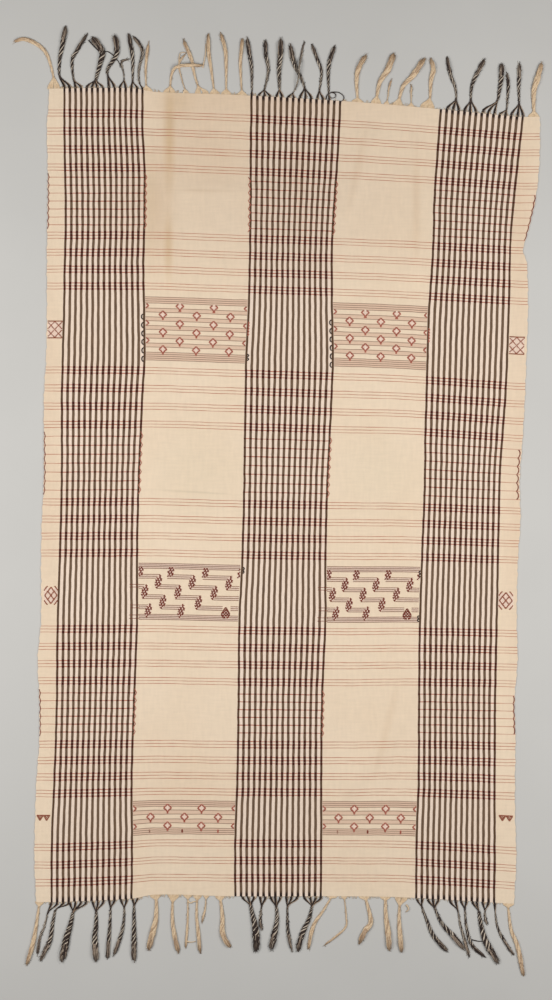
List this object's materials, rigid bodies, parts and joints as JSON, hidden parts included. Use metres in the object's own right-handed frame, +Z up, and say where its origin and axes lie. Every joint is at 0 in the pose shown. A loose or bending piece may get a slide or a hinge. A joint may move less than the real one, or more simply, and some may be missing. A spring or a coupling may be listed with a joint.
{
  "type": "akwete cloth",
  "caption": "Wide flat handwoven cotton cloth with striped warp bands, woven-in geometric motifs and a twisted warp fringe at both ends, lying open.",
  "frame": {"origin": "on the flat underside, near the middle of the cloth", "axes": "+Y along the warp, towards the end that lies at the top of the picture; +X across the cloth; +Z up from the surface that it lies on"},
  "size_m": [1.2714, 2.2822, 0.0102],
  "materials": {
    "woven_cloth": "matte plain weave of cotton, cream with dark brown warp stripes and thin red weft lines",
    "fringe_yarn": "matte plied cotton yarn, cream and dark brown, frayed at the tips"
  },
  "bodies": {
    "root": {"cloth": "woven_cloth", "fringe_top": "fringe_yarn", "fringe_bottom": "fringe_yarn"}
  },
  "joints": []
}
